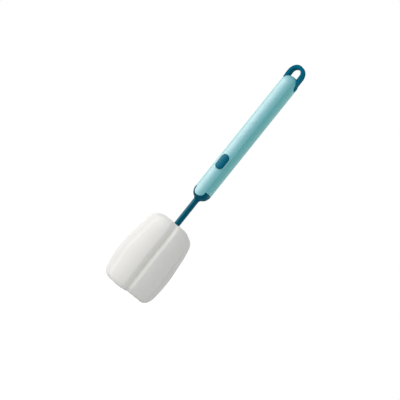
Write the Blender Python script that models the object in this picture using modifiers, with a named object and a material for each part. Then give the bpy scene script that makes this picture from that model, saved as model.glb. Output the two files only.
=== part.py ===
"""A sponge cup brush, 299 mm long, as an assembly of separate pieces.

A white six-lobed sponge sits on a thin stem. Above it are a dark domed collar, a pale round
handle with an oval release button in its front panel, and a dark hanging loop. Pressing the
button drives a wedge and a rod down through the hollow stem, which pushes the sponge head off.

The brush stands on its sponge. Z runs up along the brush from the middle of the sponge's flat
bottom, and the button faces -Y. All lengths are in metres.
"""

import math

import bmesh
import bpy
from mathutils import Matrix, Vector

# Clearance between pieces that lie against each other
GAP = 0.0003
# Points closer than this are made one before an edge is rounded
SLIVER = 0.00003
# Rounded edges of the shells and the wedge, and chamfers of turned ends
BODY_EDGE = 0.00025
PANEL_EDGE = 0.0004
WEDGE_EDGE = 0.0003
STEM_CHAMFER = 0.0004
ROD_CHAMFER = 0.0003

# Handle, collar and stem
HANDLE_RADIUS = 0.0101
WALL = 0.0018
HANDLE_TOP = 0.2854
DOME_HEIGHT = 0.0098
DOME_POWER = 2.2
COLLAR_TOP = 0.1330
COLLAR_DOME = 0.0112
STEM_RADIUS = 0.0033
STEM_BORE = 0.00165
STEM_TIP = 0.0303
COLLAR_NECK_RADIUS = 0.0045
SPIGOT_TOP = 0.1440
SPRING_POCKET_RADIUS = 0.0042
SPRING_POCKET_FLOOR = 0.1295
POCKET_SINK = 0.0001

# Front panel: a strip as wide as its round lower end, which laps over the collar
PANEL_HALF_WIDTH = 0.0059
TONGUE_TIP = 0.1258
PANEL_REAR_EDGE = 0.0046
KEY_HALF_WIDTH = 0.0025
KEY_BOTTOM = 0.1373
KEY_TOP = 0.1397
KEY_DEPTH = 0.0065
RAIL_INNER = 0.0046
RAIL_OUTER = 0.0056
RAIL_DEPTH = 0.0050
RAIL_BOTTOM = 0.1830
RAIL_TOP = 0.2680

# Release button, its window and the raised lip round it
BUTTON_HEIGHT = 0.1690
BUTTON_HALF_WIDTH = 0.0048
BUTTON_HALF_LENGTH = 0.0085
BUTTON_POWER = 2.8
BUTTON_PROUD = 0.0010
# The cap's crown as shares of its oval, then its rounded rim as (inset, drop) from there down
BUTTON_CROWN = (0.45, 0.80)
BUTTON_RIM = ((0.0011, 0.0001), (0.0004, 0.00045), (0.0, 0.0010))
FLANGE_LIP = 0.0009
FLANGE_THICKNESS = 0.0010
LIP_RADIUS = 0.0005
LIP_WIDTH = 0.0006
LIP_SINK = 0.0001

# Wedge under the button: its ramp lies on the line z = y + RAMP_HEIGHT
RAMP_HEIGHT = 0.1670
POST_HALF_WIDTH = 0.0020
POST_BOTTOM = 0.1630
POST_TOP = 0.1750
POST_REACH = 0.0005
WEDGE_HALF_WIDTH = 0.0026
WEDGE_HALF_DEPTH = 0.0042
WEDGE_BOTTOM = 0.1523
WEDGE_TOP = 0.1670
ROD_RADIUS = 0.0013
ROD_TIP = 0.0300
ROD_TOP = 0.1577
RIB_INNER = 0.0029
RIB_OUTER = 0.0043
RIB_FRONT = -0.0010
RIB_BOTTOM = 0.1470
RIB_TOP = 0.1700

# Return spring round the rod
SPRING_WIRE = 0.0005
SPRING_RADIUS = 0.0027
SPRING_TURNS = 9
SPRING_BOTTOM = 0.1298
SPRING_TOP = 0.1520
CURL_POINTS = 10

# Hanging loop: a stirrup whose legs stand in notches at the handle's sides, a little forward
LOOP_TOP = 0.2991
LOOP_HALF_WIDTH = 0.0092
LOOP_FOOT_HALF_WIDTH = 0.0096
LOOP_HOLE_HALF_WIDTH = 0.0053
LOOP_BAND_TOP = 0.0042
LOOP_FOOT = 0.2730
LOOP_BAR_TOP = 0.2790
LOOP_FLARE_TOP = 0.2830
LOOP_FRONT = -0.0067
LOOP_BACK = 0.0029
LOOP_EDGE = 0.0012
# Seen from the side, its round foot widens forward into the band between these heights
FOOT_FRONT = -0.0052
WAIST_LOW = 0.2805
WAIST_HIGH = 0.2870
WAIST_STEPS = 3

# Sponge: crest radius and height down its outline, and how deep the grooves cut there
SPONGE_OUTLINE = (
    (0.0000, 0.0872, 0.0000),
    (0.0070, 0.0879, 0.0006),
    (0.0145, 0.0880, 0.0018),
    (0.0190, 0.0867, 0.0028),
    (0.0228, 0.0842, 0.0036),
    (0.0256, 0.0806, 0.0042),
    (0.0274, 0.0762, 0.0046),
    (0.0290, 0.0690, 0.0048),
    (0.0306, 0.0570, 0.0050),
    (0.0320, 0.0430, 0.0051),
    (0.0324, 0.0310, 0.0050),
    (0.0318, 0.0190, 0.0048),
    (0.0303, 0.0095, 0.0042),
    (0.0272, 0.0034, 0.0032),
    (0.0230, 0.0006, 0.0022),
    (0.0180, 0.0000, 0.0010),
    (0.0095, 0.0000, 0.0000),
    (0.0000, 0.0000, 0.0000),
)
LOBES = 6
GROOVE_TURN = math.radians(-66)
GROOVE_HALF_WIDTH = 0.0058
LOBE_SWELL = 0.27
SPONGE_POINTS_PER_LOBE = 9

# Plastic core inside the sponge, from its foot up: the top and radius of each step
CORE_FOOT = 0.0260
CORE_STEPS = (
    (0.0276, 0.0110),
    (0.0440, 0.0049),
    (0.0452, 0.0075),
    (0.0600, 0.0049),
    (0.0612, 0.0075),
    (0.0746, 0.0049),
    (0.0760, 0.0090),
)
CORE_BORE = 0.0036
CORE_FLOOR = 0.0297

HANDLE_SIDES = 64
STEM_SIDES = 48
CORE_SIDES = 24
ROD_SIDES = 20
DOME_STEPS = 9
OVAL_POINTS = 44
LOOP_ARC_STEPS = 20
HOLE_ARC_STEPS = 16
SHARP = math.radians(35)

PALE_AQUA = (0.42, 0.71, 0.75)
DARK_TEAL = (0.010, 0.115, 0.165)
FOAM_WHITE = (0.86, 0.86, 0.83)
CORE_WHITE = (0.80, 0.81, 0.80)
STEEL = (0.62, 0.63, 0.65)


def clear_scene():
    for obj in list(bpy.data.objects):
        bpy.data.objects.remove(obj, do_unlink=True)


def new_collection(name):
    collection = bpy.data.collections.new(name)
    bpy.context.scene.collection.children.link(collection)
    return collection


def material(name, colour, roughness, metallic=0.0):
    made = bpy.data.materials.new(name)
    made.use_nodes = True
    shader = made.node_tree.nodes["Principled BSDF"]
    shader.inputs["Base Color"].default_value = (*colour, 1.0)
    shader.inputs["Roughness"].default_value = roughness
    shader.inputs["Metallic"].default_value = metallic
    return made


def add_object(name, data, collection):
    obj = bpy.data.objects.new(name, data)
    collection.objects.link(obj)
    return obj


def hide_cutter(obj):
    obj.hide_render = True
    obj.display_type = "WIRE"
    return obj


# Shapes


def turned(name, profile, sides, collection, ring=False):
    """A solid of revolution about Z. The profile runs down its outer side; a ring's closes on itself."""
    mesh = bpy.data.meshes.new(name)
    points = [(radius, 0.0, height) for radius, height in profile]
    edges = [(i, i + 1) for i in range(len(points) - 1)]
    if ring:
        edges.append((len(points) - 1, 0))
    mesh.from_pydata(points, edges, [])
    obj = add_object(name, mesh, collection)
    screw = obj.modifiers.new("Turn", "SCREW")
    screw.axis = "Z"
    screw.steps = sides
    screw.render_steps = sides
    screw.use_merge_vertices = True
    screw.merge_threshold = 0.00001
    screw.use_smooth_shade = True
    return obj


def plate(name, outlines, plane, low, high, collection, edge=0.0):
    """Closed outlines in the XZ or YZ plane, filled and extruded from low to high across it.

    A rounded edge of the given size is drawn inside the outline. The result is a welded mesh.
    """
    curve = bpy.data.curves.new(name, "CURVE")
    curve.dimensions = "2D"
    curve.fill_mode = "BOTH"
    for outline in outlines:
        spline = curve.splines.new("POLY")
        spline.points.add(len(outline) - 1)
        spline.use_cyclic_u = True
        for point, (across, up) in zip(spline.points, outline):
            point.co = (across, up, 0.0, 1.0)
    curve.extrude = (high - low) / 2 - edge
    curve.bevel_depth = edge
    curve.bevel_resolution = 2
    curve.offset = -edge
    guide = add_object(name + "_outline", curve, collection)
    middle = (low + high) / 2
    if plane == "XZ":
        turn = Matrix(((1, 0, 0, 0), (0, 0, -1, middle), (0, 1, 0, 0), (0, 0, 0, 1)))
    else:
        turn = Matrix(((0, 0, 1, middle), (1, 0, 0, 0), (0, 1, 0, 0), (0, 0, 0, 1)))
    return mesh_of_curve(name, guide, turn, collection)


def mesh_of_curve(name, guide, turn, collection):
    """Replaces a curve object by its welded mesh, with the given world matrix."""
    bpy.context.view_layer.update()
    graph = bpy.context.evaluated_depsgraph_get()
    mesh = bpy.data.meshes.new_from_object(guide.evaluated_get(graph))
    mesh.name = name
    bpy.data.objects.remove(guide, do_unlink=True)
    form = bmesh.new()
    form.from_mesh(mesh)
    bmesh.ops.remove_doubles(form, verts=form.verts, dist=0.000001)
    bmesh.ops.recalc_face_normals(form, faces=form.faces)
    form.to_mesh(mesh)
    form.free()
    obj = add_object(name, mesh, collection)
    obj.matrix_world = turn
    return obj


def wire(name, points, radius, closed, collection):
    """A round tube along the points, as a welded mesh."""
    curve = bpy.data.curves.new(name, "CURVE")
    curve.dimensions = "3D"
    spline = curve.splines.new("POLY")
    spline.points.add(len(points) - 1)
    spline.use_cyclic_u = closed
    for point, place in zip(spline.points, points):
        point.co = (*place, 1.0)
    curve.bevel_depth = radius
    curve.bevel_resolution = 1
    curve.use_fill_caps = True
    guide = add_object(name + "_path", curve, collection)
    return mesh_of_curve(name, guide, Matrix.Identity(4), collection)


def box(name, low, high, collection):
    form = bmesh.new()
    bmesh.ops.create_cube(form, size=1.0)
    low, high = Vector(low), Vector(high)
    middle = (low + high) / 2
    bmesh.ops.transform(
        form,
        matrix=Matrix.Translation(middle) @ Matrix.Diagonal((*(high - low), 1.0)),
        verts=form.verts,
    )
    mesh = bpy.data.meshes.new(name)
    form.to_mesh(mesh)
    form.free()
    return add_object(name, mesh, collection)


def loft(name, rings, first_pole, last_pole, collection):
    """A closed skin over rings of equal point counts, with a fan of faces to a pole at each end."""
    form = bmesh.new()
    rows = [[form.verts.new(point) for point in ring] for ring in rings]
    count = len(rings[0])
    for row, next_row in zip(rows, rows[1:]):
        for k in range(count):
            following = (k + 1) % count
            form.faces.new((row[k], next_row[k], next_row[following], row[following]))
    start = form.verts.new(first_pole)
    end = form.verts.new(last_pole)
    for k in range(count):
        following = (k + 1) % count
        form.faces.new((start, rows[0][k], rows[0][following]))
        form.faces.new((end, rows[-1][following], rows[-1][k]))
    bmesh.ops.recalc_face_normals(form, faces=form.faces)
    mesh = bpy.data.meshes.new(name)
    form.to_mesh(mesh)
    form.free()
    return add_object(name, mesh, collection)


def combine(obj, operation, other):
    boolean = obj.modifiers.new(operation.title() + " " + other.name, "BOOLEAN")
    boolean.operation = operation
    boolean.solver = "EXACT"
    boolean.object = hide_cutter(other)


def round_edges(obj, width, segments=2):
    weld = obj.modifiers.new("Slivers", "WELD")
    weld.merge_threshold = SLIVER
    bevel = obj.modifiers.new("Rounded edges", "BEVEL")
    bevel.width = width
    bevel.segments = segments
    bevel.limit_method = "ANGLE"
    bevel.angle_limit = SHARP


# Outlines


def dome_outline(radius, height, base, steps, end_radius=0.0, up=True):
    """Points (radius, height) from a dome's rim to its crown, or to where it is end_radius wide."""
    last = math.acos((end_radius / radius) ** (DOME_POWER / 2)) if end_radius else math.pi / 2
    points = []
    for k in range(steps + 1):
        turn = last * k / steps
        reach = max(math.cos(turn), 0.0) ** (2 / DOME_POWER)
        rise = math.sin(turn) ** (2 / DOME_POWER)
        points.append((radius * reach, base + height * rise * (1 if up else -1)))
    if not end_radius:
        points[-1] = (0.0, points[-1][1])
    return points


def arc(across, up, radius, start, end, steps):
    return [
        (
            across + radius * math.cos(start + (end - start) * k / steps),
            up + radius * math.sin(start + (end - start) * k / steps),
        )
        for k in range(steps + 1)
    ]


def round_ended(half_width, round_height, top, steps=17):
    """A strip's outline: a half circle at its lower end, straight sides and a flat top."""
    low_end = arc(0.0, round_height, half_width, math.pi, 2 * math.pi, steps)
    return low_end + [(half_width, top), (-half_width, top)]


def oval(half_width, half_length):
    """Points (x, z) round the button's oval, about its centre."""
    points = []
    for k in range(OVAL_POINTS):
        turn = 2 * math.pi * k / OVAL_POINTS
        x = math.copysign(abs(math.cos(turn)) ** (2 / BUTTON_POWER), math.cos(turn))
        z = math.copysign(abs(math.sin(turn)) ** (2 / BUTTON_POWER), math.sin(turn))
        points.append((half_width * x, half_length * z))
    return points


def on_front(x, z, radius):
    """The point at x and z on the front of a round surface about the brush's axis."""
    return Vector((x, -math.sqrt(radius**2 - x**2), z))


def button_ring(inset, radius, scale=1.0):
    half_width = (BUTTON_HALF_WIDTH - inset) * scale
    half_length = (BUTTON_HALF_LENGTH - inset) * scale
    return [on_front(x, BUTTON_HEIGHT + z, radius) for x, z in oval(half_width, half_length)]


# Handle


def shell_profile(bottom):
    """The handle's wall, open below and closed by its dome above."""
    dome_base = HANDLE_TOP - DOME_HEIGHT
    inner_radius = HANDLE_RADIUS - WALL
    outside = dome_outline(HANDLE_RADIUS, DOME_HEIGHT, dome_base, DOME_STEPS)
    inside = dome_outline(inner_radius, DOME_HEIGHT - WALL, dome_base, DOME_STEPS - 2)
    return outside[::-1] + [(HANDLE_RADIUS, bottom), (inner_radius, bottom)] + inside


def panel_outline(spare, top):
    """The front panel's outline from in front, grown by spare."""
    half_width = PANEL_HALF_WIDTH + spare
    return round_ended(half_width, TONGUE_TIP + PANEL_HALF_WIDTH, top)


def loop_side_outline(spare, top):
    """The loop seen from its side, grown by spare: a round foot that widens forward into the band."""
    radius = (LOOP_BACK - FOOT_FRONT) / 2
    middle = (LOOP_BACK + FOOT_FRONT) / 2
    outline = arc(middle, LOOP_FOOT + radius, radius + spare, math.pi, 2 * math.pi, 17)
    outline += [(LOOP_BACK + spare, top), (LOOP_FRONT - spare, top)]
    for k in range(WAIST_STEPS, -1, -1):
        share = (1 - math.cos(math.pi * k / WAIST_STEPS)) / 2
        front = FOOT_FRONT + (LOOP_FRONT - FOOT_FRONT) * share
        outline.append((front - spare, WAIST_LOW + (WAIST_HIGH - WAIST_LOW) * k / WAIST_STEPS))
    return outline


def notch_cutters(cutters):
    """The openings at both sides of the dome in which the loop's legs stand."""
    outline = loop_side_outline(GAP, LOOP_TOP)
    near = LOOP_HOLE_HALF_WIDTH - GAP
    far = 2 * HANDLE_RADIUS
    return [
        plate("left_notch", [outline], "YZ", -far, -near, cutters),
        plate("right_notch", [outline], "YZ", near, far, cutters),
    ]


def make_grip_body(parts, cutters, notches):
    """The handle's main shell. Its open front takes the mechanism, and the panel closes it."""
    body = turned("grip_body", shell_profile(COLLAR_TOP + GAP), HANDLE_SIDES, parts)
    half_width = PANEL_HALF_WIDTH + GAP
    opening = box(
        "panel_opening",
        (-half_width, -2 * HANDLE_RADIUS, COLLAR_TOP - WALL),
        (half_width, PANEL_REAR_EDGE + GAP, HANDLE_TOP + WALL),
        cutters,
    )
    combine(body, "DIFFERENCE", opening)
    for notch in notches:
        combine(body, "DIFFERENCE", notch)
    round_edges(body, BODY_EDGE)
    inner_radius = HANDLE_RADIUS - WALL
    for side, low, high in (("left", -RIB_OUTER, -RIB_INNER), ("right", RIB_INNER, RIB_OUTER)):
        rib_back = math.sqrt(inner_radius**2 - RIB_INNER**2) + WALL / 3
        rib = box(
            side + "_guide_rib",
            (low, RIB_FRONT, RIB_BOTTOM),
            (high, rib_back, RIB_TOP),
            cutters,
        )
        combine(body, "UNION", rib)
    return body


def make_front_panel(parts, cutters, notches):
    """The strip with the button's window. Its end cap passes under the loop and locks it in."""
    blank_bottom = TONGUE_TIP - WALL
    panel = turned("front_panel", shell_profile(blank_bottom), HANDLE_SIDES, parts)
    strip = plate(
        "panel_strip",
        [panel_outline(0.0, HANDLE_TOP + WALL)],
        "XZ",
        -2 * HANDLE_RADIUS,
        PANEL_REAR_EDGE,
        cutters,
    )
    combine(panel, "INTERSECT", strip)
    for notch in notches:
        combine(panel, "DIFFERENCE", notch)
    round_edges(panel, PANEL_EDGE)
    lip_path = button_ring(-GAP - LIP_WIDTH / 2, HANDLE_RADIUS - LIP_SINK)
    lip = wire("window_lip", lip_path, LIP_RADIUS, True, cutters)
    combine(panel, "UNION", lip)
    window_outline = [
        (x, BUTTON_HEIGHT + z)
        for x, z in oval(BUTTON_HALF_WIDTH + GAP, BUTTON_HALF_LENGTH + GAP)
    ]
    window = plate("button_window", [window_outline], "XZ", -2 * HANDLE_RADIUS, 0.0, cutters)
    combine(panel, "DIFFERENCE", window)
    inner_radius = HANDLE_RADIUS - WALL
    key = box(
        "stem_key",
        (-KEY_HALF_WIDTH, -inner_radius - WALL / 3, KEY_BOTTOM),
        (KEY_HALF_WIDTH, -KEY_DEPTH, KEY_TOP),
        cutters,
    )
    combine(panel, "UNION", key)
    for side, low, high in (("left", -RAIL_OUTER, -RAIL_INNER), ("right", RAIL_INNER, RAIL_OUTER)):
        rail_front = -math.sqrt(inner_radius**2 - RAIL_INNER**2) - WALL / 3
        rail = box(
            side + "_rail",
            (low, rail_front, RAIL_BOTTOM),
            (high, -RAIL_DEPTH, RAIL_TOP),
            cutters,
        )
        combine(panel, "UNION", rail)
    return panel


def make_stem_and_collar(parts, cutters):
    """One moulding: a hollow stem, the domed collar and the spigot inside the handle."""
    spigot = HANDLE_RADIUS - WALL - GAP
    chamfer = STEM_CHAMFER
    dome = dome_outline(
        HANDLE_RADIUS, COLLAR_DOME, COLLAR_TOP, DOME_STEPS, COLLAR_NECK_RADIUS, up=False
    )
    neck = dome[-1][1]
    profile = [(SPRING_POCKET_RADIUS, SPIGOT_TOP), (spigot - chamfer, SPIGOT_TOP)]
    profile += [(spigot, SPIGOT_TOP - chamfer), (spigot, COLLAR_TOP)]
    profile += dome
    profile += [(STEM_RADIUS + chamfer, neck - 2 * chamfer), (STEM_RADIUS, neck - 4 * chamfer)]
    profile += [(STEM_RADIUS, STEM_TIP + chamfer), (STEM_RADIUS - chamfer, STEM_TIP)]
    profile += [(STEM_BORE, STEM_TIP), (STEM_BORE, SPRING_POCKET_FLOOR)]
    profile += [(SPRING_POCKET_RADIUS, SPRING_POCKET_FLOOR)]
    stem = turned("stem_and_collar", profile, STEM_SIDES, parts, ring=True)
    outside = 1.5 * HANDLE_RADIUS
    inside = spigot - POCKET_SINK
    pocket = turned(
        "tongue_pocket",
        [(outside, SPIGOT_TOP), (outside, STEM_TIP), (inside, STEM_TIP), (inside, SPIGOT_TOP)],
        STEM_SIDES,
        cutters,
        ring=True,
    )
    lap = plate(
        "tongue_lap",
        [panel_outline(GAP, COLLAR_TOP + WALL)],
        "XZ",
        -2 * HANDLE_RADIUS,
        0.0,
        cutters,
    )
    combine(pocket, "INTERSECT", lap)
    combine(stem, "DIFFERENCE", pocket)
    slot = box(
        "key_slot",
        (-KEY_HALF_WIDTH - GAP, -2 * HANDLE_RADIUS, KEY_BOTTOM - GAP),
        (KEY_HALF_WIDTH + GAP, -KEY_DEPTH + GAP, KEY_TOP + GAP),
        cutters,
    )
    combine(stem, "DIFFERENCE", slot)
    return stem


def make_hang_loop(parts, cutters):
    """A closed stirrup: its bar lies under the panel's end cap, and its legs fill the notches."""
    arch = LOOP_TOP - LOOP_HALF_WIDTH
    outside = [(LOOP_FOOT_HALF_WIDTH, LOOP_FOOT), (LOOP_HALF_WIDTH, LOOP_FLARE_TOP)]
    outside += arc(0.0, arch, LOOP_HALF_WIDTH, 0.0, math.pi, LOOP_ARC_STEPS)
    outside += [(-LOOP_HALF_WIDTH, LOOP_FLARE_TOP), (-LOOP_FOOT_HALF_WIDTH, LOOP_FOOT)]
    hole_arch = LOOP_TOP - LOOP_BAND_TOP - LOOP_HOLE_HALF_WIDTH
    hole = [(LOOP_HOLE_HALF_WIDTH, LOOP_BAR_TOP)]
    hole += arc(0.0, hole_arch, LOOP_HOLE_HALF_WIDTH, 0.0, math.pi, HOLE_ARC_STEPS)
    hole += [(-LOOP_HOLE_HALF_WIDTH, LOOP_BAR_TOP)]
    loop = plate(
        "hang_loop",
        [outside, hole],
        "XZ",
        LOOP_FRONT,
        LOOP_BACK,
        parts,
        edge=LOOP_EDGE,
    )
    side_outline = loop_side_outline(0.0, LOOP_TOP + WALL)
    reach = 2 * HANDLE_RADIUS
    side = plate("loop_side", [side_outline], "YZ", -reach, reach, cutters)
    combine(loop, "INTERSECT", side)
    return loop


# Release mechanism


def make_release_button(parts, cutters):
    """The oval cap, a flange that holds it behind the window, and the wedge-ended post."""
    top = HANDLE_RADIUS + BUTTON_PROUD
    flange_top = HANDLE_RADIUS - WALL - GAP
    flange_back = flange_top - FLANGE_THICKNESS
    rings = [button_ring(0.0, top, share) for share in BUTTON_CROWN]
    rings += [button_ring(inset, top - drop) for inset, drop in BUTTON_RIM]
    rings.append(button_ring(0.0, flange_top))
    rings.append(button_ring(-FLANGE_LIP, flange_top))
    rings.append(button_ring(-FLANGE_LIP, flange_back))
    button = loft(
        "release_button",
        rings,
        (0.0, -top, BUTTON_HEIGHT),
        (0.0, -flange_back, BUTTON_HEIGHT),
        parts,
    )
    root = -flange_back - FLANGE_THICKNESS / 2
    outline = [
        (root, POST_BOTTOM),
        (POST_BOTTOM - RAMP_HEIGHT, POST_BOTTOM),
        (POST_REACH, POST_REACH + RAMP_HEIGHT),
        (POST_REACH, POST_TOP),
        (root, POST_TOP),
    ]
    post = plate("button_post", [outline], "YZ", -POST_HALF_WIDTH, POST_HALF_WIDTH, cutters)
    combine(button, "UNION", post)
    return button


def make_rod_wedge(parts, cutters):
    """The block on the rod's end, whose ramp the button's post pushes on."""
    ramp = RAMP_HEIGHT - GAP * math.sqrt(2)
    outline = [
        (-WEDGE_HALF_DEPTH, WEDGE_BOTTOM),
        (WEDGE_HALF_DEPTH, WEDGE_BOTTOM),
        (WEDGE_HALF_DEPTH, WEDGE_TOP),
        (WEDGE_TOP - ramp, WEDGE_TOP),
        (-WEDGE_HALF_DEPTH, ramp - WEDGE_HALF_DEPTH),
    ]
    wedge = plate("rod_wedge", [outline], "YZ", -WEDGE_HALF_WIDTH, WEDGE_HALF_WIDTH, parts)
    round_edges(wedge, WEDGE_EDGE, 1)
    socket = ROD_RADIUS + GAP
    hole = turned(
        "rod_socket",
        [(0.0, ROD_TOP + GAP), (socket, ROD_TOP + GAP), (socket, SPIGOT_TOP), (0.0, SPIGOT_TOP)],
        CORE_SIDES,
        cutters,
    )
    combine(wedge, "DIFFERENCE", hole)
    return wedge


def make_push_rod(parts):
    """The steel rod that runs down the stem to the floor of the sponge's core."""
    chamfer = ROD_CHAMFER
    profile = [
        (0.0, ROD_TOP),
        (ROD_RADIUS - chamfer, ROD_TOP),
        (ROD_RADIUS, ROD_TOP - chamfer),
        (ROD_RADIUS, ROD_TIP + chamfer),
        (ROD_RADIUS - chamfer, ROD_TIP),
        (0.0, ROD_TIP),
    ]
    return turned("push_rod", profile, ROD_SIDES, parts)


def make_return_spring(parts):
    """The coil round the rod that brings rod and button back."""
    count = SPRING_TURNS * CURL_POINTS
    low = SPRING_BOTTOM + SPRING_WIRE / 2
    high = SPRING_TOP - SPRING_WIRE / 2
    points = []
    for k in range(count + 1):
        turn = 2 * math.pi * k / CURL_POINTS
        points.append(
            Vector(
                (
                    SPRING_RADIUS * math.cos(turn),
                    SPRING_RADIUS * math.sin(turn),
                    low + (high - low) * k / count,
                )
            )
        )
    nearest = min(
        (points[k] - points[k + CURL_POINTS]).length for k in range(count + 1 - CURL_POINTS)
    )
    print(f"return spring: least gap between curls {1000 * (nearest - SPRING_WIRE):.2f} mm")
    return wire("rod_return_spring", points, SPRING_WIRE / 2, False, parts)


# Sponge head


def core_profile(spare, bore_floor=None):
    """The core's stepped outside, grown by spare, and its blind bore if a floor is given."""
    outside = [(0.0, CORE_FOOT - spare)]
    radii_above = [radius for top, radius in CORE_STEPS[1:]] + [0.0]
    for (top, radius), radius_above in zip(CORE_STEPS, radii_above):
        rise = spare if radius_above < radius else -spare
        outside.append((radius + spare, outside[-1][1]))
        outside.append((radius + spare, top + rise))
    profile = outside[::-1]
    top = profile[0][1]
    if bore_floor is not None:
        return [(0.0, bore_floor), (CORE_BORE, bore_floor), (CORE_BORE, top)] + profile
    above_sponge = SPONGE_OUTLINE[2][1] + WALL
    return [(0.0, above_sponge), (CORE_BORE, above_sponge), (CORE_BORE, top)] + profile


def make_sponge_core(parts):
    """The plastic core that the sponge is fixed on, with discs that grip the foam."""
    return turned("sponge_core", core_profile(0.0, CORE_FLOOR), CORE_SIDES, parts)


def groove_depth(turn, radius):
    """How much of the groove's full depth is cut at this angle: the lobe's own fall and the notch."""
    around = (turn - GROOVE_TURN) % (2 * math.pi / LOBES)
    around = min(around, 2 * math.pi / LOBES - around)
    swell = (1 + math.cos(LOBES * around)) / 2
    reach = min(around * radius / GROOVE_HALF_WIDTH, 1.0)
    notch = (1 + math.cos(math.pi * reach)) / 2
    return LOBE_SWELL * swell + (1 - LOBE_SWELL) * notch


def make_sponge(parts, cutters):
    """The foam: six lobes round the core, drawn in towards the stem and flat below."""
    count = LOBES * SPONGE_POINTS_PER_LOBE
    rings = []
    for k in range(1, len(SPONGE_OUTLINE) - 1):
        radius, height, depth = SPONGE_OUTLINE[k]
        before, after = SPONGE_OUTLINE[k - 1], SPONGE_OUTLINE[k + 1]
        run = Vector((after[0] - before[0], after[1] - before[1])).normalized()
        inward, drop = run.y, -run.x
        ring = []
        for i in range(count):
            turn = GROOVE_TURN + 2 * math.pi * i / count
            cut = depth * groove_depth(turn, radius)
            reach = radius + inward * cut
            ring.append((reach * math.cos(turn), reach * math.sin(turn), height + drop * cut))
        rings.append(ring)
    top = (0.0, 0.0, SPONGE_OUTLINE[0][1])
    bottom = (0.0, 0.0, SPONGE_OUTLINE[-1][1])
    sponge = loft("sponge", rings, top, bottom, parts)
    cavity = turned("core_cavity", core_profile(GAP), CORE_SIDES, cutters)
    combine(sponge, "DIFFERENCE", cavity)
    return sponge


# Assembly


def carry(name, place, objects, collection):
    """Parents the objects to an empty on their joint's axis, without moving them."""
    empty = add_object(name, None, collection)
    empty.location = place
    for obj in objects:
        obj.parent = empty
        obj.matrix_parent_inverse = Matrix.Translation(Vector(place)).inverted()
    return empty


def finish_piece(obj, made):
    obj.data.materials.clear()
    obj.data.materials.append(made)
    if obj.data.polygons:
        obj.data.shade_smooth()
        obj.data.set_sharp_from_angle(angle=SHARP)


def main():
    clear_scene()
    parts = new_collection("sponge_cup_brush")
    cutters = new_collection("cutters")
    aqua = material("pale_aqua_plastic", PALE_AQUA, 0.42)
    teal = material("dark_teal_plastic", DARK_TEAL, 0.40)
    foam = material("white_foam", FOAM_WHITE, 0.95)
    white = material("white_plastic", CORE_WHITE, 0.50)
    steel = material("bright_steel", STEEL, 0.30, 1.0)

    notches = notch_cutters(cutters)
    finish_piece(make_grip_body(parts, cutters, notches), aqua)
    finish_piece(make_front_panel(parts, cutters, notches), aqua)
    finish_piece(make_stem_and_collar(parts, cutters), teal)
    finish_piece(make_hang_loop(parts, cutters), teal)

    button = make_release_button(parts, cutters)
    finish_piece(button, teal)
    carry("button_slide", (0.0, -HANDLE_RADIUS, BUTTON_HEIGHT), [button], parts)

    wedge = make_rod_wedge(parts, cutters)
    rod = make_push_rod(parts)
    finish_piece(wedge, white)
    finish_piece(rod, steel)
    carry("rod_slide", (0.0, 0.0, WEDGE_BOTTOM), [wedge, rod], parts)
    finish_piece(make_return_spring(parts), steel)

    core = make_sponge_core(parts)
    sponge = make_sponge(parts, cutters)
    finish_piece(core, white)
    finish_piece(sponge, foam)
    carry("head_slide", (0.0, 0.0, CORE_FLOOR), [core, sponge], parts)


main()
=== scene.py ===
"""The looks of the sponge cup brush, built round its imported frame.

Each piece of the frame gets a finely modelled piece in its place: the pale shells, the dark stem,
loop and button, the six-lobed foam head with its core, and the rod, wedge and coil inside the
handle. Z runs up along the brush, and the button faces -Y. All lengths are in metres.
"""

import math

import bmesh
import bpy
from mathutils import Matrix, Vector, noise


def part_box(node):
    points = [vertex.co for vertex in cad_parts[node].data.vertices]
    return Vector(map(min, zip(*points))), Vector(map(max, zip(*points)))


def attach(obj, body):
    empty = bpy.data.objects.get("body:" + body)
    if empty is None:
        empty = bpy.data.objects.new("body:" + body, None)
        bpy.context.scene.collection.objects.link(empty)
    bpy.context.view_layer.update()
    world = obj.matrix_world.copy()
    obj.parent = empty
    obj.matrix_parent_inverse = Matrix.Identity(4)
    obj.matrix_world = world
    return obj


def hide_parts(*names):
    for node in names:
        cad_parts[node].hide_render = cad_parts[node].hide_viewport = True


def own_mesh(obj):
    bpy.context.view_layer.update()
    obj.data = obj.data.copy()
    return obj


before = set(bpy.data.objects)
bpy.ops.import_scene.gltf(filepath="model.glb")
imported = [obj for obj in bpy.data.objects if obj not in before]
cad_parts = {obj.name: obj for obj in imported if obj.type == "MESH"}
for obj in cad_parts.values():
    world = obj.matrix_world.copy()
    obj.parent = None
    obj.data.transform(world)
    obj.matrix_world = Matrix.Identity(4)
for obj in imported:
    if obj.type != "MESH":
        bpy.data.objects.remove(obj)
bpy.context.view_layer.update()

# Fit of the visible pieces, finer than the clearance between the frame's solids
SEAM = 0.00008
SLIVER = 0.00003
TURNED_WELD = 0.00001
CURVE_WELD = 0.000001

# Angles above which an edge stays sharp, and below which a face belongs to its true surface, and
# the steps in a rounded edge
SHARP = math.radians(35)
ROD_SHARP = math.radians(30)
ROUND_SHARP = math.radians(50)
NEAR_TRUE = math.radians(6)
EDGE_STEPS = 3
CURVE_EDGE_STEPS = 5

# Handle, read from the frame
HANDLE_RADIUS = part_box("grip_body")[1].x
HANDLE_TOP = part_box("front_panel")[1].z
HANDLE_SIDES = 160
CUT_REACH = 2 * HANDLE_RADIUS
WALL = 0.0018
DOME_HEIGHT = 0.0098
DOME_POWER = 2.2
DOME_BASE = HANDLE_TOP - DOME_HEIGHT
DOME_STEPS = 24
INNER_DOME_STEPS = 12
SHELL_EDGE = 0.0002

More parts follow.
